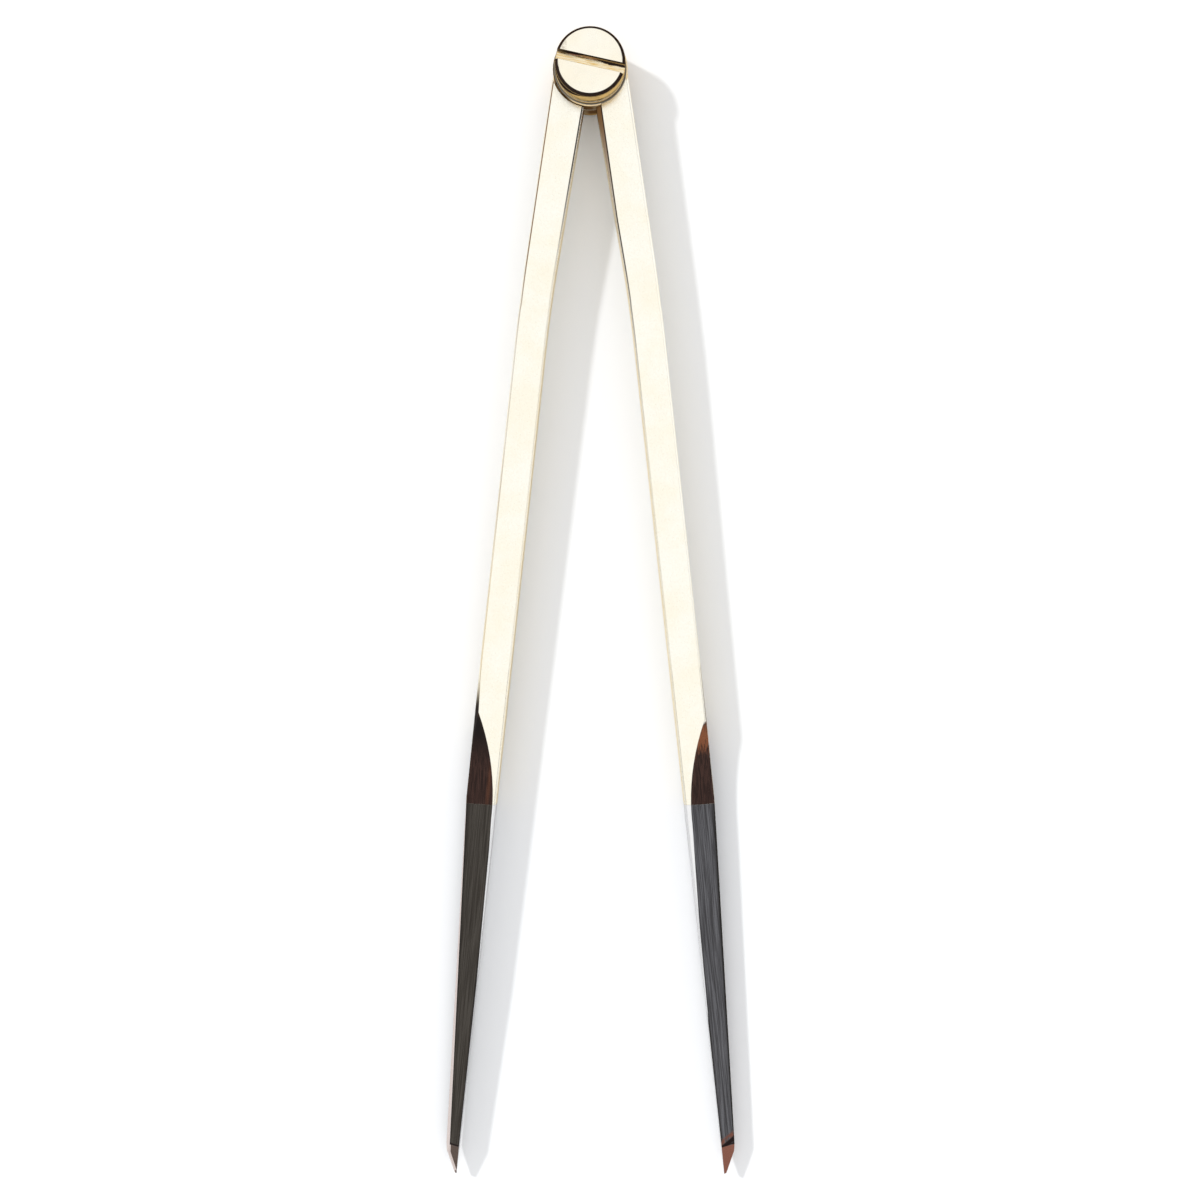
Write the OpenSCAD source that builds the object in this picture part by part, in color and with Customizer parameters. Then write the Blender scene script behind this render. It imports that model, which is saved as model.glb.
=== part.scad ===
// Chart divider: two bowed brass legs with ground steel points, lapped on a friction pivot.
// Lengths are millimetres and angles are degrees. Z is the pivot axis and the legs point along -Y.
// Z = 0 is the back of the pivot post's flange, which lies on the table.

/* [Legs] */
// Distance from the pivot axis to the bend, along a leg's inner edge
bend_distance = 38; // [28:0.5:55]
// Distance from the bend to the tip, along a leg's inner edge
lower_length = 138; // [115:1:170]
// Angle of the bend, which bows a leg outwards
bend_angle = 3.4; // [0.5:0.1:6]
// Width of a leg below the bend
leg_width = 4.9; // [4.5:0.1:6]
// Width of a leg at the pivot axis
hinge_width = 5.7; // [5:0.1:7]
// Thickness of a leg
leg_thickness = 4.8; // [4.2:0.1:6]
// Chamfer on a leg's long edges above the bend
upper_chamfer = 0.35; // [0.15:0.05:0.55]
// Chamfer on a leg's long edges below the bend
lower_chamfer = 0.3; // [0.1:0.05:0.5]
// Chamfer on a leg's inner edge where it leaves the hinge, on the side of its lug
relief_chamfer = 0.8; // [0.3:0.05:1.1]
// Distance from the pivot axis at which that edge is back to the upper chamfer
relief_length = 24; // [15:1:27]
// Angle from the centre line to a leg's inner edge at the hinge, with the divider as it lies open
rest_angle = 9.6; // [4:0.1:20]

/* [Points] */
// Length of a steel point, from the solder joint to the tip
point_length = 59; // [50:0.5:64]
// Length of a point's straight taper, from the tip to where the grinding runs out in an arc
taper_length = 58.5; // [45:0.5:62]
// Width of a point at the top of its straight taper, out to the line where the two facets would meet
taper_width = 4.7; // [4.2:0.1:5.2]
// Width of a point just behind its tip, out to the line where the two facets would meet
shank_width = 2.6; // [2:0.05:3.2]
// Length of the sharpened tip, along its facets
tip_length = 4.6; // [4.2:0.1:8]
// Width of the blunt end that is left on the tip
tip_land = 0.35; // [0.3:0.05:0.6]
// Width of a point at the top of its taper, out to the middle of its ground outer edge
edge_taper_width = 4.77; // [4.7:0.01:5.2]
// Length of the sharpened tip, along its outer edge
edge_tip_length = 3.4; // [2:0.1:3.8]
// Width of a point just behind its tip, out to the middle of its ground outer edge
edge_shank_width = 1.8; // [1.4:0.05:1.95]
// Width of the tip's blunt end, out to the middle of the ground outer edge
edge_land = 0.2; // [0.1:0.05:0.25]
// Lean of the ground outer edge towards one face of the leg
edge_lean = 28; // [15:1:32]
// Slope of the ground facets, from the face of the leg down to its outer edge
facet_angle = 30; // [24:1:36]
// How much further from the inner edge the facet lies on the lug's side of a leg, which is ground less
facet_offset = 0.45; // [0.1:0.05:0.5]
// How much earlier that facet leaves its straight taper
facet_lead = 1; // [0.5:0.1:2]
// Radius of the grinding wheel that leaves the curved end of the facets
grind_radius = 69; // [60:1:130]
// How far the wheel dips below the straight taper where the grinding runs out
grind_dip = 0.02; // [0.01:0.005:0.05]
// Diameter of the tang that is soldered into the leg
tang_diameter = 1.8; // [1.2:0.1:2.2]
// Length of the tang
tang_length = 14; // [6:0.5:25]
// Distance from a leg's inner edge to the tang's axis
tang_inset = 1.75; // [1.5:0.05:2]

/* [Pivot screw] */
// Diameter of the screw's head
head_diameter = 11; // [8.5:0.1:13]
// Height of the screw's head
head_height = 3.2; // [2.4:0.1:5]
// Chamfer round the top of the head
head_chamfer = 0.5; // [0.2:0.05:0.9]
// Width of the screwdriver slot
slot_width = 1.5; // [0.8:0.05:2]
// Depth of the screwdriver slot
slot_depth = 1.2; // [0.8:0.1:2]
// Direction of the slot, from the X axis
slot_angle = -12.5; // [-90:0.5:90]
// Diameter of the threaded shank
screw_diameter = 4.9; // [3:0.1:5.4]
// Gap between the end of the shank and the bottom of the post's threaded hole
shank_end_gap = 0.7; // [0.2:0.1:1.5]

/* [Pivot post and washers] */
// Diameter of the post's flange
flange_diameter = 11; // [9:0.1:13]
// Thickness of the post's flange
flange_thickness = 2; // [1.4:0.1:4]
// Chamfer round the back of the flange
flange_chamfer = 0.5; // [0.2:0.05:0.9]
// Diameter of the post that the legs turn on
post_diameter = 7; // [6:0.1:8]
// How far the post stops short of the legs' front face
post_recess = 0.2; // [0.05:0.05:0.6]
// Thickness of metal left behind the post's threaded hole
post_floor = 1; // [0.5:0.1:1.3]
// Diameter of the flat washers
washer_diameter = 11; // [9:0.1:13]
// Thickness of the washer in front of the legs
head_washer_thickness = 0.6; // [0.3:0.1:1.2]
// Thickness of the washer behind the legs
rear_washer_thickness = 0.8; // [0.3:0.1:1.5]
// Outer diameter of the wave spring
spring_diameter = 10.2; // [8:0.1:10.8]
// Inner diameter of the wave spring
spring_bore = 6.2; // [5.6:0.1:7]
// Thickness of the wave spring's strip
spring_thickness = 0.25; // [0.15:0.05:0.4]
// Height of the wave spring as it is clamped
spring_height = 0.47; // [0.42:0.01:0.9]
// Number of waves round the spring
spring_waves = 4; // [3:1:6]
// Thickness of the friction washer between the lapped lugs
lap_washer_thickness = 0.2; // [0.1:0.05:0.5]

/* [Clearances] */
// How far a lug's rim stands out past the width of the leg at the pivot
lug_margin = 0.2; // [0.1:0.05:0.5]
// Gap between a lug's rim and the other leg's shoulder
shoulder_gap = 0.2; // [0.1:0.05:0.4]
// Radial clearance of what turns on the post
running_clearance = 0.05; // [0.02:0.01:0.1]
// Radial clearance of what is fixed on the post or soldered into a leg
fixed_clearance = 0.02; // [0.01:0.01:0.04]
// Radial clearance round the screw's thread, and of the washers on its shank
thread_clearance = 0.05; // [0.02:0.01:0.1]
// Gap between flat faces that slide on each other
face_clearance = 0.01; // [0.005:0.005:0.02]

/* [Hidden] */
$fn = 96;
brass = [0.93, 0.86, 0.66];
steel = [0.29, 0.28, 0.27];
bronze = [0.66, 0.47, 0.27];
overcut = 1;

// Leg layout: the inner edge runs down -Y from the pivot, bends, and runs straight to the tip
half_thickness = leg_thickness / 2;
joint_distance = lower_length - point_length;
joint_skew = rest_angle - bend_angle;
lug_radius = hinge_width + lug_margin;
shoulder_radius = lug_radius + shoulder_gap;
lap_gap = lap_washer_thickness + 2 * face_clearance;
lug_thickness = (leg_thickness - lap_gap) / 2;
lug_chamfer = upper_chamfer / 2;
reach = bend_distance + lower_length;

// Facet profile: heights above the leg's middle plane, square to the facet, against distance from the tip
land_height = tip_land * sin(facet_angle);
shank_height = shank_width * sin(facet_angle);
taper_height = taper_width * sin(facet_angle);
tip_slope = (shank_height - land_height) / tip_length;
taper_slope = (taper_height - shank_height) / (taper_length - tip_length);
taper_pitch = atan(taper_slope);
edge_tip_slope = (edge_shank_width - edge_land) / edge_tip_length;
edge_taper_slope = (edge_taper_width - edge_shank_width) / (taper_length - edge_tip_length);

// Stack of pieces along the pivot axis, from the back to the front
rear_washer_z = flange_thickness;
leg_back_z = rear_washer_z + rear_washer_thickness;
leg_middle_z = leg_back_z + half_thickness;
leg_front_z = leg_back_z + leg_thickness;
head_washer_z = leg_front_z + face_clearance;
spring_z = head_washer_z + head_washer_thickness + face_clearance;
head_z = spring_z + spring_height + face_clearance;
post_top_z = leg_front_z - post_recess;
post_radius = post_diameter / 2;
screw_radius = screw_diameter / 2;
shank_radius_clear = screw_radius + thread_clearance;

// Rest pose: the left leg lies as it is drawn, and the right leg is the same part turned over
module place_left() {
    translate([0, 0, leg_middle_z]) rotate([0, 0, -rest_angle]) children();
}

module place_right() {
    translate([0, 0, leg_middle_z]) rotate([0, 180, 0]) rotate([0, 0, -rest_angle]) children();
}

// Frame of the lower leg: inner edge down -Y from the bend
module below_bend() {
    translate([0, -bend_distance, 0]) rotate([0, 0, bend_angle]) children();
}

// Plan lines of a leg's long edges: pivot axis, bend, tip
down_lower_leg = [sin(bend_angle), -cos(bend_angle)];
across_bend = [-cos(bend_angle / 2), -sin(bend_angle / 2)] / cos(bend_angle / 2);
across_tip = [-cos(bend_angle), -sin(bend_angle)];
inner_bend = [0, -bend_distance];
inner_tip = inner_bend + lower_length * down_lower_leg;
inner_edge = [[0, 0], inner_bend, inner_tip];
outer_edge = [[-hinge_width, 0], inner_bend + leg_width * across_bend, inner_tip + leg_width * across_tip];
chamfers = [upper_chamfer, lower_chamfer];

// Block that holds everything past the bevel of one stretch of edge, as if the stretch had no end
module past_bevel(edge, stretch, outward) {
    run = edge[stretch + 1] - edge[stretch];
    translate([edge[stretch].x, edge[stretch].y, half_thickness])
        rotate([0, 0, atan2(run.y, run.x)])
            rotate([-outward * 45, 0, 0])
                translate([-reach, -leg_width, -chamfers[stretch] / sqrt(2)])
                    cube([2 * reach, 2 * leg_width, leg_width]);
}

// Block past the wide bevel of the inner edge at the hinge, which runs out into the upper chamfer
module past_relief() {
    fall = (relief_chamfer - upper_chamfer) / sqrt(2);
    tilt = atan(fall / (relief_length - shoulder_radius));
    translate([0, -relief_length, half_thickness])
        rotate([0, 45, 0])
            translate([0, 0, -upper_chamfer / sqrt(2)])
                rotate([-tilt, 0, 0])
                    translate([-leg_width / 2, -overcut, 0])
                        cube([leg_width, relief_length + overcut, leg_width]);
}

// Whole leg blank from the pivot axis to the tip, brass and steel in one piece, with bevelled edges
module blank() {
    difference() {
        translate([0, 0, -half_thickness])
            linear_extrude(leg_thickness)
                polygon(concat(inner_edge, [outer_edge[2], outer_edge[1], outer_edge[0]]));
        for (face = [0, 1])
            mirror([0, 0, face]) {
                intersection_for (stretch = [0, 1]) past_bevel(inner_edge, stretch, 1);
                for (stretch = [0, 1]) past_bevel(outer_edge, stretch, -1);
            }
        mirror([0, 0, 1]) past_relief();
    }
}

// Side view of what the grinding removes: X is the distance from the tip, Y is square to the facet
module ground_away_profile(taper_end) {
    end_height = shank_height + taper_slope * (taper_end - tip_length);
    top = end_height + leg_thickness + leg_width;
    polygon([
        [-overcut, land_height - overcut * tip_slope],
        [tip_length, shank_height],
        [taper_end, end_height],
        [taper_end, top],
        [-overcut, top]
    ]);
    translate([taper_end, end_height])
        rotate([0, 0, taper_pitch])
            translate([0, grind_radius - grind_dip])
                circle(grind_radius, $fn = 360);
}

// Side view of what is ground off the outer edge: X is the distance from the tip, Y is square to the ground face
module edge_away_profile() {
    end = 2 * taper_length;
    across = cos(edge_lean);
    top = 3 * leg_width;
    polygon([
        [-overcut, across * (edge_land - overcut * edge_tip_slope)],
        [edge_tip_length, across * edge_shank_width],
        [end, across * (edge_shank_width + edge_taper_slope * (end - edge_tip_length))],
        [end, top],
        [-overcut, top]
    ]);
}

// A side view swept right across the lower leg, with its Y axis leaning outwards from the face by an angle
module swept_across(lean) {
    span = 4 * (leg_width + leg_thickness);
    below_bend()
        translate([0, -lower_length, 0])
            rotate([0, -lean, 0])
                rotate([90, 0, 90])
                    translate([0, 0, -span / 2])
                        linear_extrude(span) children();
}

// Leg blank with its two ground facets and its ground outer edge
module ground_blank() {
    difference() {
        blank();
        for (face = [0, 1])
            mirror([0, 0, face])
                swept_across(facet_angle)
                    translate([0, face * facet_offset * sin(facet_angle)])
                        ground_away_profile(taper_length - face * facet_lead);
        swept_across(90 - edge_lean) edge_away_profile();
    }
}

// Everything past the solder joint, which is square to the centre line when the divider lies open
module past_joint() {
    width = 4 * leg_width;
    below_bend()
        translate([0, -joint_distance, 0])
            rotate([0, 0, joint_skew])
                translate([-width / 2, -2 * point_length, -leg_thickness])
                    cube([width, 2 * point_length, 2 * leg_thickness]);
}

// Round rod on the tang's axis, from below the joint to the tang's end
module tang_rod(radius, length) {
    below_bend()
        translate([-tang_inset, -joint_distance - overcut, 0])
            rotate([-90, 0, 0])
                cylinder(r = radius, h = length + overcut);
}

// One leg with its lug at the back, bored to turn or to be fixed on the post
module leg(bore_clearance) {
    color(brass)
        difference() {
            union() {
                difference() {
                    ground_blank();
                    past_joint();
                    translate([0, 0, -lap_gap / 2])
                        cylinder(r = shoulder_radius, h = leg_thickness);
                }
                translate([0, 0, -half_thickness]) {
                    cylinder(r1 = lug_radius - lug_chamfer, r2 = lug_radius, h = lug_chamfer);
                    translate([0, 0, lug_chamfer])
                        cylinder(r = lug_radius, h = lug_thickness - lug_chamfer);
                }
            }
            translate([0, 0, -leg_thickness])
                cylinder(r = post_radius + bore_clearance, h = 2 * leg_thickness);
            tang_rod(tang_diameter / 2 + fixed_clearance, tang_length + fixed_clearance);
        }
}

// One steel point with its tang
module point() {
    color(steel) {
        intersection() {
            ground_blank();
            past_joint();
        }
        tang_rod(tang_diameter / 2, tang_length);
    }
}

// Flanged post with a blind threaded hole, closed at the back
module pivot_post() {
    flange_radius = flange_diameter / 2;
    color(brass)
        rotate_extrude()
            polygon([
                [0, 0],
                [flange_radius - flange_chamfer, 0],
                [flange_radius, flange_chamfer],
                [flange_radius, flange_thickness],
                [post_radius, flange_thickness],
                [post_radius, post_top_z],
                [shank_radius_clear, post_top_z],
                [shank_radius_clear, post_floor],
                [0, post_floor]
            ]);
}

module flat_washer(bore_radius, outer_radius, thickness) {
    difference() {
        cylinder(r = outer_radius, h = thickness);
        translate([0, 0, -overcut])
            cylinder(r = bore_radius, h = thickness + 2 * overcut);
    }
}

module rear_washer() {
    color(brass)
        translate([0, 0, rear_washer_z])
            flat_washer(post_radius + fixed_clearance, washer_diameter / 2, rear_washer_thickness);
}

module lap_washer() {
    color(bronze)
        translate([0, 0, leg_middle_z - lap_washer_thickness / 2])
            flat_washer(post_radius + running_clearance, lug_radius - lug_margin, lap_washer_thickness);
}

module head_washer() {
    color(brass)
        translate([0, 0, head_washer_z])
            flat_washer(shank_radius_clear, washer_diameter / 2, head_washer_thickness);
}

// Ring of strip whose height follows a cosine round the pivot
module wave_spring() {
    steps = 18 * spring_waves;
    swing = (spring_height - spring_thickness) / 2;
    middle = spring_z + spring_height / 2;
    function corner(step, radius, side) =
        let (turn = 360 * step / steps)
        [radius * cos(turn), radius * sin(turn),
         middle + swing * cos(spring_waves * turn) + side * spring_thickness / 2];
    points = [
        for (step = [0 : steps - 1])
            for (edge = [[spring_bore, -1], [spring_diameter, -1], [spring_diameter, 1], [spring_bore, 1]])
                corner(step, edge[0] / 2, edge[1])
    ];
    faces = [
        for (step = [0 : steps - 1], edge = [0 : 3])
            let (
                here = 4 * step,
                next = 4 * ((step + 1) % steps),
                other = (edge + 1) % 4
            )
            each [
                [here + edge, next + edge, next + other],
                [here + edge, next + other, here + other]
            ]
    ];
    color(steel) polyhedron(points, faces);
}

// Slotted cheese-head screw
module pivot_screw() {
    head_radius = head_diameter / 2;
    head_top = head_z + head_height;
    shank_end = post_floor + shank_end_gap;
    shank_chamfer = screw_radius / 4;
    color(brass)
        difference() {
            rotate_extrude()
                polygon([
                    [0, shank_end],
                    [screw_radius - shank_chamfer, shank_end],
                    [screw_radius, shank_end + shank_chamfer],
                    [screw_radius, head_z],
                    [head_radius, head_z],
                    [head_radius, head_top - head_chamfer],
                    [head_radius - head_chamfer, head_top],
                    [0, head_top]
                ]);
            rotate([0, 0, slot_angle])
                translate([-head_diameter, -slot_width / 2, head_top - slot_depth])
                    cube([2 * head_diameter, slot_width, slot_depth + overcut]);
        }
}

place_left() leg(fixed_clearance);  // left_leg
place_right() leg(running_clearance);  // right_leg
place_left() point();  // left_point
place_right() point();  // right_point
pivot_post();
rear_washer();
lap_washer();
head_washer();
wave_spring();
pivot_screw();
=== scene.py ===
"""Chart divider with bowed brass legs and ground steel points, lying open on a white table."""

import math

import bmesh
import bpy
from mathutils import Matrix, Vector


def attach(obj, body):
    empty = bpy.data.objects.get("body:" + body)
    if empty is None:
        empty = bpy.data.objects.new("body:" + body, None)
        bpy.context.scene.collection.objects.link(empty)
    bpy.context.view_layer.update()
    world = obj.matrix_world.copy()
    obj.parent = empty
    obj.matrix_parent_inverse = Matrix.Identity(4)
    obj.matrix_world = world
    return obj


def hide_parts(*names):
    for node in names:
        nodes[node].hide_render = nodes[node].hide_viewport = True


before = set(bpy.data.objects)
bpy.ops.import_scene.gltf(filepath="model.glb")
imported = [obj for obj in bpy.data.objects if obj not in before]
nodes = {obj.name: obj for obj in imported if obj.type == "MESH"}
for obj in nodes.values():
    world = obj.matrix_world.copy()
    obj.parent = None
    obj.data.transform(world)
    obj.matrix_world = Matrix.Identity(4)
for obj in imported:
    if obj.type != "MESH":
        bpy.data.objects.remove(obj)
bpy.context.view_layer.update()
scene = bpy.context.scene
MM = 0.001
WHITE = (1.0, 1.0, 1.0, 1.0)

# Places on the solids, in millimetres and degrees
LEG_BACK = 2.8
LEG_FRONT = 7.6
LEG_MIDDLE = (LEG_BACK + LEG_FRONT) / 2
LEG_HALF = (LEG_FRONT - LEG_BACK) / 2
BEND = (6.34, -37.47)
BEND_LEAN = 7.9
BEND_ANGLE = 3.4
TIP = (21.24, -174.66)
TIP_LENGTH = 4.6
LOWER_LEAN = 6.2
LUG_RADIUS = 6.0
WASHER_RADIUS = 5.5
FLANGE_RADIUS = 5.5
HEAD_BOTTOM = 8.7
HEAD_TOP = 11.9
SLOT_ANGLE = -12.5
SLOT_WIDTH = 1.5
SLOT_DEPTH = 1.2

# Camera straight above the divider, in millimetres and pixels of the photo
CAMERA_X = 1.54
CAMERA_Y = -83.7
CAMERA_HEIGHT = 287
PIXELS_PER_MM = 6.35
PICTURE_SIZE = 1200
SENSOR = 36

camera_data = bpy.data.cameras.new("camera")
camera_data.sensor_width = SENSOR
camera_data.lens = SENSOR * CAMERA_HEIGHT * PIXELS_PER_MM / PICTURE_SIZE
camera_data.clip_start = MM
camera = bpy.data.objects.new("camera", camera_data)
camera.location = Vector((CAMERA_X, CAMERA_Y, LEG_FRONT + CAMERA_HEIGHT)) * MM
scene.collection.objects.link(camera)
scene.camera = camera


def srgb(red, green, blue):
    """Linear colour of an 8-bit display colour."""
    def linear(value):
        value /= 255
        return value / 12.92 if value <= 0.04045 else ((value + 0.055) / 1.055) ** 2.4
    return (linear(red), linear(green), linear(blue), 1.0)


class Shader:
    """Node tree of a material or the world, built up one socket at a time."""

    BUMP_DEPTH = 0.01

    def __init__(self, owner):
        owner.use_nodes = True
        self.owner = owner
        self.nodes = owner.node_tree.nodes
        self.links = owner.node_tree.links
        self.coordinates = self.nodes.new("ShaderNodeTexCoord").outputs
        self.colour = WHITE
        self.metallic = 1.0

    def feed(self, socket, value):
        """Links a socket to another one, or sets its value."""
        if isinstance(value, bpy.types.NodeSocket):
            self.links.new(value, socket)
        else:
            socket.default_value = value

    def node(self, kind, values, **settings):
        made = self.nodes.new(kind)
        for name, setting in settings.items():
            setattr(made, name, setting)
        for key, value in values.items():
            self.feed(made.inputs[key], value)
        return made

    def math(self, operation, first, second=0.0):
        return self.node("ShaderNodeMath", {0: first, 1: second}, operation=operation).outputs[0]

    def plus(self, first, second):
        return self.math("ADD", first, second)

    def minus(self, first, second):
        return self.math("SUBTRACT", first, second)

    def larger(self, first, second):
        return self.math("MAXIMUM", first, second)

    def absolute(self, value):
        return self.math("ABSOLUTE", value)

    def product(self, first, *others):
        for other in others:
            first = self.math("MULTIPLY", first, other)
        return first

    def step(self, value, start, end, low=0.0, high=1.0):
        """Smooth change from low to high as the value goes from start to end."""
        values = {"Value": value, "From Min": start, "From Max": end, "To Min": low, "To Max": high}
        return self.node("ShaderNodeMapRange", values, interpolation_type="SMOOTHSTEP").outputs[0]

    def fade(self, value, start, end, high=1.0):
        """Smooth change from high to 0 as the value goes from start to end."""
        return self.step(value, start, end, high, 0.0)

    def window(self, value, rise, fall, blur):
        """1 between rise and fall, 0 outside."""
        risen = self.step(value, rise - blur, rise + blur)
        return self.product(risen, self.fade(value, fall - blur, fall + blur))

    def mix(self, factor, first, second):
        return self.node("ShaderNodeMix", {0: factor, 6: first, 7: second}, data_type="RGBA").outputs[2]

    def axes(self, vector):
        return self.node("ShaderNodeSeparateXYZ", {0: vector}).outputs

    def noise(self, vector, scale, detail=3.0, roughness=0.55):
        values = {"Vector": vector, "Scale": scale, "Detail": detail, "Roughness": roughness}
        return self.node("ShaderNodeTexNoise", values).outputs["Fac"]

    def mapping(self, vector, **changes):
        """Vector after its Scale, Rotation and Location."""
        return self.node("ShaderNodeMapping", {"Vector": vector, **changes}).outputs[0]

    def millimetres(self):
        """Object coordinates in millimetres."""
        return self.mapping(self.coordinates["Object"], Scale=(1 / MM, 1 / MM, 1 / MM))

    def down_leg(self, side):
        """Millimetres across the lower leg from its inner edge, and up along it from the tip."""
        turn = -side * math.radians(LOWER_LEAN)
        start = Matrix.Rotation(turn, 2) @ Vector((side * TIP[0], TIP[1]))
        return self.mapping(self.millimetres(), Rotation=(0, 0, turn), Location=(-start.x, -start.y, 0))

    def bump(self, height, strength):
        values = {"Height": height, "Strength": strength, "Distance": self.BUMP_DEPTH * MM}
        return self.node("ShaderNodeBump", values).outputs[0]

    def coat(self, factor, colour):
        """Lays another colour of metal over the first."""
        self.colour = self.mix(factor, self.colour, colour)

    def stain_and_shade(self, factor, colour):
        """Lays a matt colour over the metal, for stains and for painted shade, and takes the shine away
        below it.
        """
        self.coat(factor, colour)
        self.metallic = self.product(self.metallic, self.minus(1.0, factor))

    def finish(self, roughness, normal=None, grazing=WHITE):
        """Metal, and matt where stains and painted shade make it not metallic."""
        surface = self.nodes["Principled BSDF"].inputs
        self.feed(surface["Base Color"], self.colour)
        self.feed(surface["Metallic"], self.metallic)
        self.feed(surface["Roughness"], roughness)
        self.feed(surface["Specular IOR Level"], 0.0)
        self.feed(surface["Specular Tint"], grazing)
        if normal is not None:
            self.feed(surface["Normal"], normal)
        return self.owner


def material(name):
    return Shader(bpy.data.materials.new(name))


# Room: a bright ceiling over walls that are pale at the ends and darker at the sides, with a skirting
CEILING = 1.06
ROOM_ENDS = 1.0
ROOM_SIDES = 0.65
SKIRTING_LEFT = 0.7
SKIRTING_RIGHT = 1.05
CEILING_EDGE = (0.84, 0.93)
ROOM_CORNER = (0.28, 0.6)
SKIRTING_TOP = (0.06, 0.26)
SKIRTING_TURN = (-0.7, 0.3)

scene.view_settings.view_transform = "Standard"
scene.world = bpy.data.worlds.new("studio")
sky = Shader(scene.world)
sky_x, sky_y, sky_z = sky.axes(sky.coordinates["Generated"])
skirting = sky.step(sky_x, *SKIRTING_TURN, SKIRTING_LEFT, SKIRTING_RIGHT)
room = sky.step(sky.absolute(sky_y), *ROOM_CORNER, ROOM_SIDES, ROOM_ENDS)
walls = sky.step(sky_z, *SKIRTING_TOP, skirting, room)
background = sky.nodes["Background"].inputs
sky.feed(background["Color"], WHITE)
sky.feed(background["Strength"], sky.step(sky_z, *CEILING_EDGE, walls, CEILING))

# Lamp from the upper left, which leaves no glint of its own on the metal
LAMP_AZIMUTH = math.radians(152)
LAMP_ELEVATION = math.radians(40)
LAMP_SIZE = math.radians(4)
LAMP_STRENGTH = 1.35

lamp_data = bpy.data.lights.new("lamp", "SUN")
lamp_data.energy = LAMP_STRENGTH
lamp_data.angle = LAMP_SIZE
lamp = bpy.data.objects.new("lamp", lamp_data)
lamp.rotation_euler = (0, math.pi / 2 - LAMP_ELEVATION, LAMP_AZIMUTH)
lamp.visible_glossy = False
scene.collection.objects.link(lamp)

# Table: leaning from the flange up to the tips, and swept up far away so that no horizon shows
TABLE_COLOUR = (0.93, 0.94, 0.955, 1.0)
TABLE_ROUGHNESS = 1.0
TABLE_RISE = 2.6
TABLE_SIZE = 6
TABLE_CELLS = 48
TABLE_LEVEL = 1.0
TABLE_SWEEP = 0.085

table_mesh = bpy.data.meshes.new("table")
work = bmesh.new()
bmesh.ops.create_grid(work, x_segments=TABLE_CELLS, y_segments=TABLE_CELLS, size=TABLE_SIZE / 2)
for vertex in work.verts:
    vertex.co.z = TABLE_SWEEP * max(0, vertex.co.length - TABLE_LEVEL) ** 2
work.to_mesh(table_mesh)
work.free()
table_mesh.shade_smooth()
paint = material("white_table")
paint.colour = TABLE_COLOUR
paint.metallic = 0.0
table_mesh.materials.append(paint.finish(TABLE_ROUGHNESS))
table = bpy.data.objects.new("table", table_mesh)
table.location.y = -FLANGE_RADIUS * MM
table.rotation_euler.x = math.atan(TABLE_RISE / (TIP[1] + FLANGE_RADIUS))
scene.collection.objects.link(table)

# Ways a surface faces along the pivot axis: flat 1, facet 0.87, bevel 0.71, ground edge 0.47, wall 0
WALL_END = (0.5, 0.66)
GROUND_EDGES = (0.38, 0.82)
BEVELS = (0.6, 0.82)
FACETS = (0.8, 0.95)
FLATS = (0.9, 0.97)
FACING_BLUR = 0.04

# Ways a surface faces towards the other leg or away from it
INWARD = (-0.5, -0.3)
OUTWARD = (0.3, 0.5)

# Brass: cream where it is polished flat and gold on turned sides, painted as bright and dim reflections of
# one brass, and dark brown on the ground facets, a painted dark reflection
CREAM = srgb(252, 247, 233)
CREAM_WARM = srgb(250, 242, 222)
CREAM_DEEP = srgb(240, 226, 194)
LEG_CREAM = srgb(253, 251, 241)
LEG_WARM = srgb(252, 247, 231)
WALL_GOLD = srgb(234, 212, 164)
GOLD = srgb(230, 196, 130)
GOLD_DEEP = srgb(190, 148, 84)
BROWN = srgb(112, 82, 50)
SLOT_BROWN = srgb(160, 112, 88)
# Near-black painted shade and dark reflection, for lines, rings, the slot corner and the chamfer
SHADE_DARK = srgb(44, 34, 29)
FACET_BROWN = srgb(84, 63, 57)
FACET_DARK = srgb(58, 46, 43)
FACET_BLACK = srgb(42, 38, 37)
FACET_COPPER = srgb(152, 97, 69)
BRASS_GRAZING = (0.95, 0.86, 0.66, 1.0)

# Marks on the legs, in millimetres up from the tip
FACET_TOP = (80.0, 81.0)
BLACK_END = (64.5, 71.0)
BLACK_EDGE = (58.0, 77.0)
COPPER_STREAK = (59.0, 65.0)
COPPER_STREAK_ACROSS = (-1.7, -1.2)
COPPER_PATCH = (67.6, 71.0)

# Painted shade and dark reflections along the legs' hinge walls and bevels, and gold on the lug rim as a
# painted dim reflection, in millimetres along Y from where each is gone to where it is full
HINGE_WALL = (-16.0, -6.0)
RIGHT_INNER_BEVEL = (-34.0, -6.0)
RIGHT_INNER_LINE = (-60.0, -26.0)
LEFT_INNER_LINE = (-36.0, -14.0)
LEFT_OUTER_MIDDLE = -52.0
LEFT_OUTER_REACH = (6.0, 24.0)
RIM_NEAR_GAP = (-4.5, -3.0)

# Places of painted shade, and of a scuff, on the head, collar and flange, in millimetres
SLOT_BROWN_PART = (-3.4, 0.6)
SCUFF_X = (-4.5, -3.7)
SCUFF_Y = (1.6, 3.1)
BAND_TURN = (-4.6, -0.5)
BAND_DEEP = 2.5
BAND_SHALLOW = 0.7
NEAR_SIDE = (1.4, 3.0)
FOOT = (-0.1, 0.15)
COLLAR_FOOT = (-0.2, 0.15)
FLANGE_IN_GAP = (-5.2, -3.6)


def flat_brass(shader, place, pale, warm):
    """Polished brass with a faint drift of colour."""
    clouds = shader.noise(place, 0.16, detail=2.0)
    return shader.mix(shader.step(clouds, 0.3, 0.7), pale, warm)


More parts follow.
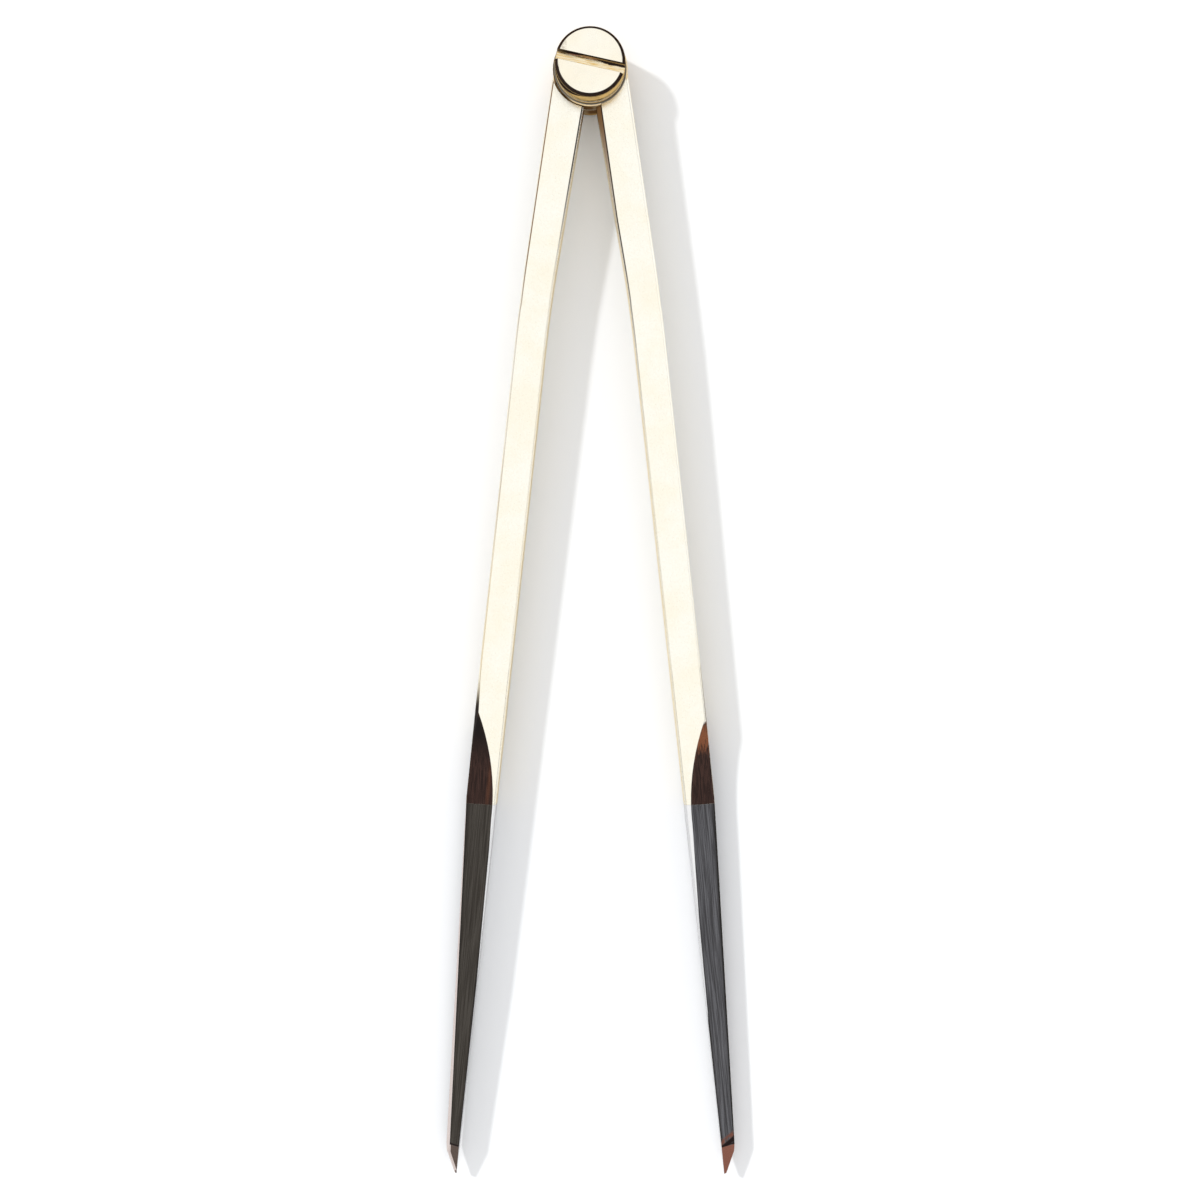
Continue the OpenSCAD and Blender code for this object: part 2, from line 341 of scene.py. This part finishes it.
def facet_brown(shader, side, along):
    """Colour of a leg's ground facet, a painted dark reflection, streaked along the leg."""
    across_mm, up_mm = shader.axes(along)[:2]
    streaks = shader.noise(shader.mapping(along, Scale=(5.0, 0.12, 5.0)), 1.0, detail=2.0)
    colour = shader.mix(shader.step(streaks, 0.35, 0.65), FACET_DARK, FACET_BROWN)
    ragged_mm = shader.plus(up_mm, shader.product(shader.minus(streaks, 0.5), 6.0))
    if side < 0:
        colour = shader.mix(shader.step(ragged_mm, *BLACK_END), colour, FACET_BLACK)
        in_streak = shader.window(across_mm, *COPPER_STREAK_ACROSS, 0.3)
        copper = shader.product(in_streak, shader.window(up_mm, *COPPER_STREAK, 2.0), 0.3)
    else:
        copper = shader.window(ragged_mm, *COPPER_PATCH, 1.2)
    return shader.mix(copper, colour, FACET_COPPER)


def leg_brass(side):
    """Bar brass of one leg, with painted shade and dark reflections along the hinge and the bevels, and a
    painted dark reflection where the facet was ground.
    """
    shader = material("left_brass" if side < 0 else "right_brass")
    normal_x, normal_y, normal_z = shader.axes(shader.coordinates["Normal"])
    facing = shader.absolute(normal_z)
    outward = shader.product(normal_x, float(side))
    place = shader.millimetres()
    x, y, z = shader.axes(place)
    along = shader.down_leg(side)
    up_mm = shader.axes(along)[1]
    drawn = shader.noise(shader.mapping(along, Scale=(2.4, 0.07, 2.4)), 1.0)
    specks = shader.noise(place, 6.0, detail=2.0)

    wall = shader.mix(shader.step(drawn, 0.3, 0.7), WALL_GOLD, CREAM_DEEP)
    flat = flat_brass(shader, place, LEG_CREAM, LEG_WARM)
    # Pale cream on flat faces and gold on walls: painted bright and dim reflections of the same brass
    shader.colour = shader.mix(shader.step(facing, *WALL_END), wall, flat)
    shader.coat(shader.step(specks, 0.35, 0.75, 0.0, 0.25), CREAM_DEEP)
    # Dark brown and black on the ground facets: painted dark reflection
    facet = shader.product(shader.window(facing, *FACETS, FACING_BLUR / 2), shader.fade(up_mm, *FACET_TOP))
    shader.coat(facet, facet_brown(shader, side, along))

    # Brown on the walls between the legs near the hinge: painted shade and dark reflection
    between_legs = shader.product(shader.fade(outward, 0.0, 0.3), shader.fade(normal_y, -0.2, 0.1))
    shader.stain_and_shade(
        shader.product(between_legs, shader.step(y, *HINGE_WALL), shader.fade(facing, *WALL_END)), BROWN
    )
    radius = shader.math("SQRT", shader.plus(shader.math("POWER", x, 2.0), shader.math("POWER", y, 2.0)))
    # Gold on the lug rim's sides: a painted dim reflection, like the turned sides
    lug_rim = shader.product(
        shader.fade(radius, LUG_RADIUS, LUG_RADIUS + 0.1),
        shader.fade(facing, 0.85, 0.95),
        shader.larger(shader.step(y, *RIM_NEAR_GAP), shader.step(facing, 0.3, 0.5)),
    )
    shader.stain_and_shade(shader.product(lug_rim, 0.7), GOLD)
    # Dark ring round the washer's foot on the lug face: painted shadow
    collar = shader.window(radius, WASHER_RADIUS - 0.2, WASHER_RADIUS + 0.3, 0.1)
    shader.stain_and_shade(shader.product(collar, shader.step(facing, *FLATS), 0.85), SHADE_DARK)

    bevel = shader.window(facing, *BEVELS, FACING_BLUR)
    inner = shader.product(bevel, shader.fade(outward, *INWARD))
    outer = shader.product(bevel, shader.step(outward, *OUTWARD))
    height = shader.absolute(shader.minus(z, LEG_MIDDLE))
    crest = shader.step(height, LEG_HALF - 0.28, LEG_HALF - 0.12)
    if side < 0:
        # Black on the left leg's ground outer edge by the facet: painted dark reflection
        ground_edge = shader.product(
            shader.window(facing, *GROUND_EDGES, FACING_BLUR),
            shader.step(outward, *OUTWARD),
            shader.window(up_mm, *BLACK_EDGE, 3.0),
        )
        shader.stain_and_shade(ground_edge, FACET_BLACK)
        # Brown and near-black lines on the left leg's bevels: painted dark reflections
        from_middle = shader.absolute(shader.minus(y, LEFT_OUTER_MIDDLE))
        outer_line = shader.product(outer, crest, shader.step(from_middle, *LEFT_OUTER_REACH, 0.4, 1.0))
        shader.stain_and_shade(outer_line, BROWN)
        shader.stain_and_shade(shader.product(inner, crest, shader.step(y, *LEFT_INNER_LINE)), SHADE_DARK)
    else:
        # Brown band and near-black line on the right leg's inner bevel: painted dark reflections
        shader.stain_and_shade(shader.product(inner, shader.step(y, *RIGHT_INNER_BEVEL)), BROWN)
        shader.stain_and_shade(shader.product(inner, crest, shader.step(y, *RIGHT_INNER_LINE)), SHADE_DARK)
    return shader.finish(shader.step(specks, 0.25, 0.75, 0.2, 0.3), shader.bump(specks, 0.03), BRASS_GRAZING)


def slot_wear_and_shade(shader, place, patches):
    """Pale scores along the screwdriver slot, and painted shade in its upper corner."""
    in_line = shader.mapping(place, Rotation=(0, 0, -math.radians(SLOT_ANGLE)))
    slot_x, slot_y, z = shader.axes(in_line)
    half_slot = SLOT_WIDTH / 2
    slot_floor = HEAD_TOP - SLOT_DEPTH
    in_slot = shader.product(
        shader.window(slot_y, -half_slot - 0.1, half_slot + 0.1, 0.02),
        shader.step(z, slot_floor - 0.1, slot_floor - 0.05),
        shader.fade(z, HEAD_TOP - 0.06, HEAD_TOP - 0.02),
    )
    scores = shader.noise(shader.mapping(in_line, Scale=(0.5, 6.0, 6.0)), 1.0, detail=2.0)
    shader.coat(in_slot, shader.mix(shader.step(scores, 0.4, 0.65), CREAM_DEEP, GOLD))
    # Brown and near-black in the slot's upper corner: painted shade
    shade_width = shader.plus(shader.step(slot_x, 0.0, 3.0, -0.25, 0.05), shader.product(patches, 0.6))
    in_corner = shader.step(shader.plus(slot_y, shade_width), half_slot - 0.08, half_slot + 0.02)
    slot_shade = shader.mix(shader.window(slot_x, *SLOT_BROWN_PART, 0.8), SHADE_DARK, SLOT_BROWN)
    shader.stain_and_shade(shader.product(in_slot, in_corner), slot_shade)


def head_shade(shader, x, y, z, patches):
    """Painted shade and dark reflection: a dark band and a wandering dark line on the near side, and dark
    lines at the foot of the head and the collar.
    """
    band_edge = shader.step(x, *BAND_TURN, HEAD_TOP - BAND_DEEP, HEAD_TOP - BAND_SHALLOW)
    dark_band = shader.step(shader.minus(z, band_edge), -0.2, 0.2)
    wander = shader.plus(shader.product(patches, 1.2), HEAD_BOTTOM)
    wavy_line = shader.window(shader.minus(z, wander), -0.1, 0.1, 0.08)
    near_side = shader.fade(y, *NEAR_SIDE)
    head_foot = shader.window(shader.minus(z, HEAD_BOTTOM), *FOOT, 0.08)
    painted_dark = shader.larger(shader.product(shader.larger(dark_band, wavy_line), near_side), head_foot)
    painted_dark = shader.product(painted_dark, shader.step(z, HEAD_BOTTOM - 0.2, HEAD_BOTTOM - 0.1))
    collar_foot = shader.window(shader.minus(z, LEG_FRONT), *COLLAR_FOOT, 0.08)
    return shader.larger(painted_dark, collar_foot)


def turned_brass():
    """Brass turned in a lathe, with painted dark reflection on the chamfer, painted shade round the head,
    collar and flange, and a worn screwdriver slot with painted shade in it.
    """
    shader = material("turned_brass")
    facing = shader.absolute(shader.axes(shader.coordinates["Normal"])[2])
    place = shader.millimetres()
    x, y, z = shader.axes(place)
    rings = shader.noise(shader.mapping(place, Scale=(0.02, 0.02, 4.0)), 1.0, detail=1.0)
    patches = shader.noise(place, 0.8)
    specks = shader.noise(place, 6.0, detail=2.0)
    side_wall = shader.fade(facing, 0.3, 0.5)
    chamfer = shader.window(facing, 0.55, 0.85, 0.05)

    gold = shader.mix(shader.step(rings, 0.35, 0.65, 0.4, 1.0), GOLD_DEEP, GOLD)
    flat = flat_brass(shader, place, CREAM, CREAM_WARM)
    # Pale cream on flat faces and gold on sides: painted bright and dim reflections of the same brass
    shader.colour = shader.mix(shader.step(facing, 0.6, 0.9), gold, flat)
    slot_wear_and_shade(shader, place, patches)
    scuff = shader.product(
        shader.window(x, *SCUFF_X, 0.2),
        shader.window(y, *SCUFF_Y, 0.4),
        shader.step(z, HEAD_TOP - 0.4, HEAD_TOP - 0.2),
        shader.step(patches, 0.4, 0.6, 0.1, 0.5),
    )
    shader.stain_and_shade(scuff, BROWN)
    # Gold laid on the side walls: a painted dim reflection
    shader.stain_and_shade(shader.product(side_wall, 0.8), gold)
    # Brown on the rear pieces' sides in the gap between the legs: painted shade
    behind_legs = shader.fade(z, LEG_BACK - 0.1, LEG_BACK + 0.1)
    shader.stain_and_shade(shader.product(side_wall, behind_legs, shader.fade(y, *FLANGE_IN_GAP, 0.7)), BROWN)
    # Near-black on the chamfer and round the head and collar: painted dark reflection and shade
    painted_dark = shader.product(head_shade(shader, x, y, z, patches), side_wall)
    shader.stain_and_shade(shader.larger(chamfer, painted_dark), SHADE_DARK)
    return shader.finish(shader.step(patches, 0.3, 0.7, 0.2, 0.3), shader.bump(specks, 0.03), BRASS_GRAZING)


# Steel: grey on the right point, warmer on the left, brown at the tips, painted shade along the facets'
# edges, and pale on flats and outer edges as painted reflection
STEEL_LIGHT = srgb(124, 124, 128)
STEEL_GREY = srgb(78, 77, 79)
STEEL_WARM = srgb(68, 63, 58)
STEEL_MILD = srgb(94, 89, 83)
STEEL_EDGE = srgb(50, 47, 45)
STEEL_FLAT = srgb(240, 240, 240)
STEEL_INNER = srgb(212, 211, 212)
STEEL_PALE = srgb(214, 200, 194)
TIP_BROWN = srgb(98, 84, 77)
TIP_RED = srgb(136, 90, 76)
TIP_BLACK = srgb(46, 36, 36)

# Width of each point's facet, as its growth per millimetre up from the tip and its start
LEFT_FACET_WIDTH = (0.06, 1.24)
RIGHT_FACET_WIDTH = (0.049, 1.81)
TIP_WIDTH = (0.5, -0.24)

# Reddish blotches and a black band above the right tip, in millimetres up from it along a slant, and the
# line round both tips
BLOTCH_SLANT = 0.5
RED_BLOTCH_BAND = (4.8, 5.6)
BLACK_BAND_ABOVE_TIP = (4.0, 4.8)
TIP_LINE = 0.22


def point_steel(side):
    """Steel ground lengthwise, with painted shade along its edges, painted reflection on its flats and
    walls, and brown at the tip.
    """
    shader = material("left_steel" if side < 0 else "right_steel")
    normal = shader.axes(shader.coordinates["Normal"])
    facing = shader.absolute(normal[2])
    outward = shader.product(normal[0], float(side))
    along = shader.down_leg(side)
    across_mm, up_mm = shader.axes(along)[:2]
    across_mm = shader.product(across_mm, float(side))
    lines = shader.noise(shader.mapping(along, Scale=(6.0, 0.06, 6.0)), 1.0)
    fine = shader.noise(shader.mapping(along, Scale=(22.0, 0.3, 22.0)), 1.0, detail=2.0)

    def width(growth, start):
        return shader.plus(shader.product(up_mm, growth), start)

    dark, light = (STEEL_WARM, STEEL_MILD) if side < 0 else (STEEL_GREY, STEEL_LIGHT)
    ground = shader.mix(shader.step(lines, 0.35, 0.68), dark, light)
    shank_width = width(*(LEFT_FACET_WIDTH if side < 0 else RIGHT_FACET_WIDTH))
    share = shader.math("DIVIDE", across_mm, shader.math("MINIMUM", shank_width, width(*TIP_WIDTH)))
    # Darker along both edges of the facet: painted shade
    middle = shader.product(shader.step(share, 0.0, 0.14), shader.fade(share, 0.88, 1.02))
    shader.colour = shader.mix(middle, STEEL_EDGE, ground)

    tip = shader.fade(up_mm, TIP_LENGTH - 0.1, TIP_LENGTH)
    if side < 0:
        shader.coat(tip, TIP_BROWN)
        # Pale strip on the left tip's outer side: painted reflection
        shader.coat(shader.product(tip, shader.step(share, 0.86, 0.94)), STEEL_PALE)
    else:
        blotches = shader.noise(along, 1.1, detail=2.0)
        slanted_mm = shader.minus(up_mm, shader.product(across_mm, BLOTCH_SLANT))
        red_blotches = shader.product(shader.window(slanted_mm, *RED_BLOTCH_BAND, 0.3), shader.step(blotches, 0.4, 0.55))
        shader.coat(red_blotches, TIP_RED)
        shader.coat(shader.window(slanted_mm, *BLACK_BAND_ABOVE_TIP, 0.15), TIP_BLACK)
        shader.coat(tip, TIP_RED)
    shader.coat(shader.window(up_mm, TIP_LENGTH, TIP_LENGTH + TIP_LINE, 0.06), TIP_BLACK)

    # Pale inner walls, flats and outer walls: painted reflections
    wall = shader.fade(facing, 0.55, 0.66)
    inward = shader.fade(outward, *INWARD)
    shader.coat(shader.product(wall, inward, shader.step(lines, 0.3, 0.7, 1.0, 0.7)), STEEL_INNER)
    inner_bevel = shader.product(shader.window(facing, 0.6, 0.78, 0.03), inward)
    shader.coat(shader.larger(shader.step(facing, 0.955, 0.985), inner_bevel), STEEL_FLAT)
    shader.coat(shader.product(wall, shader.step(outward, *OUTWARD)), STEEL_PALE)
    return shader.finish(shader.step(fine, 0.25, 0.75, 0.24, 0.4), shader.bump(fine, 0.15))


# Strip: straw-tempered steel for the wave spring, bronze for the lap washer
SPRING = srgb(176, 140, 84)
SPRING_DARK = srgb(96, 72, 44)
BRONZE = srgb(186, 140, 92)
BRONZE_DARK = srgb(140, 98, 60)


def strip_metal(name, light, dark):
    """Thin rolled strip with a mottled temper colour."""
    shader = material(name)
    mottle = shader.noise(shader.millimetres(), 1.6)
    shader.colour = shader.mix(shader.step(mottle, 0.35, 0.65), dark, light)
    return shader.finish(shader.step(mottle, 0.3, 0.7, 0.22, 0.36), shader.bump(mottle, 0.05))


# Shapes: the solids as they were packed, with softened edges and the legs' bend eased into a bow
WELD = 1e-6
FLAT_ANGLE = math.radians(0.2)
SHARP_ANGLE = math.radians(20)
TURNED_EDGE = 0.06
LEG_EDGE = 0.03
STRIP_EDGE = 0.015
EDGE_SEGMENTS = 3
BOW_REACH = 7.0
BOW_CUTS = 8


def soften(piece, width):
    """Rounds the sharp edges of a piece."""
    weld = piece.modifiers.new("weld", "WELD")
    weld.merge_threshold = WELD
    bevel = piece.modifiers.new("soft_edges", "BEVEL")
    bevel.width = width * MM
    bevel.segments = EDGE_SEGMENTS
    bevel.limit_method = "ANGLE"
    bevel.angle_limit = SHARP_ANGLE
    bevel.harden_normals = True
    bevel.use_clamp_overlap = False


def bowed_leg(arm, side):
    """Copy of a leg whose single bend is spread over a short bow."""
    work = bmesh.new()
    work.from_mesh(nodes[arm + "_leg"].data)
    bmesh.ops.remove_doubles(work, verts=work.verts, dist=WELD)
    bmesh.ops.dissolve_limit(work, angle_limit=FLAT_ANGLE, verts=work.verts, edges=work.edges)
    bend = Vector((side * BEND[0], BEND[1], 0)) * MM
    lean = math.radians(BEND_LEAN)
    down = Vector((side * math.sin(lean), -math.cos(lean), 0))
    inwards = Vector((-side * math.cos(lean), -math.sin(lean), 0))
    reach = BOW_REACH * MM
    for cut in range(-BOW_CUTS, BOW_CUTS + 1):
        everything = work.verts[:] + work.edges[:] + work.faces[:]
        cut_place = bend + down * reach * cut / BOW_CUTS
        bmesh.ops.bisect_plane(work, geom=everything, plane_co=cut_place, plane_no=down)
    for vertex in work.verts:
        distance = abs((vertex.co - bend).dot(down))
        if distance < reach:
            vertex.co += inwards * math.radians(BEND_ANGLE) * (reach - distance) ** 2 / (4 * reach)
    mesh = bpy.data.meshes.new(arm + "_leg_bowed")
    work.to_mesh(mesh)
    work.free()
    if "custom_normal" in mesh.attributes:
        mesh.attributes.remove(mesh.attributes["custom_normal"])
    mesh.shade_smooth()
    mesh.set_sharp_from_angle(angle=SHARP_ANGLE)
    piece = bpy.data.objects.new(mesh.name, mesh)
    scene.collection.objects.link(piece)
    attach(piece, arm + "_arm")
    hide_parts(arm + "_leg")
    return piece


def dress(piece, finish, edge_width=0):
    """Gives a piece its material, and soft edges where a width is named."""
    piece.data.materials.clear()
    piece.data.materials.append(finish)
    if edge_width:
        soften(piece, edge_width)


for side, arm in ((-1, "left"), (1, "right")):
    dress(bowed_leg(arm, side), leg_brass(side), LEG_EDGE)
    dress(nodes[arm + "_point"], point_steel(side))
lathe_brass = turned_brass()
for node in ("pivot_post", "rear_washer", "head_washer", "pivot_screw"):
    dress(nodes[node], lathe_brass, TURNED_EDGE)
dress(nodes["wave_spring"], strip_metal("spring_strip", SPRING, SPRING_DARK), STRIP_EDGE)
dress(nodes["lap_washer"], strip_metal("bronze_strip", BRONZE, BRONZE_DARK), STRIP_EDGE)

# The photo's shadow has the outline of the legs and lugs alone, without the screw's head
nodes["pivot_screw"].visible_shadow = False
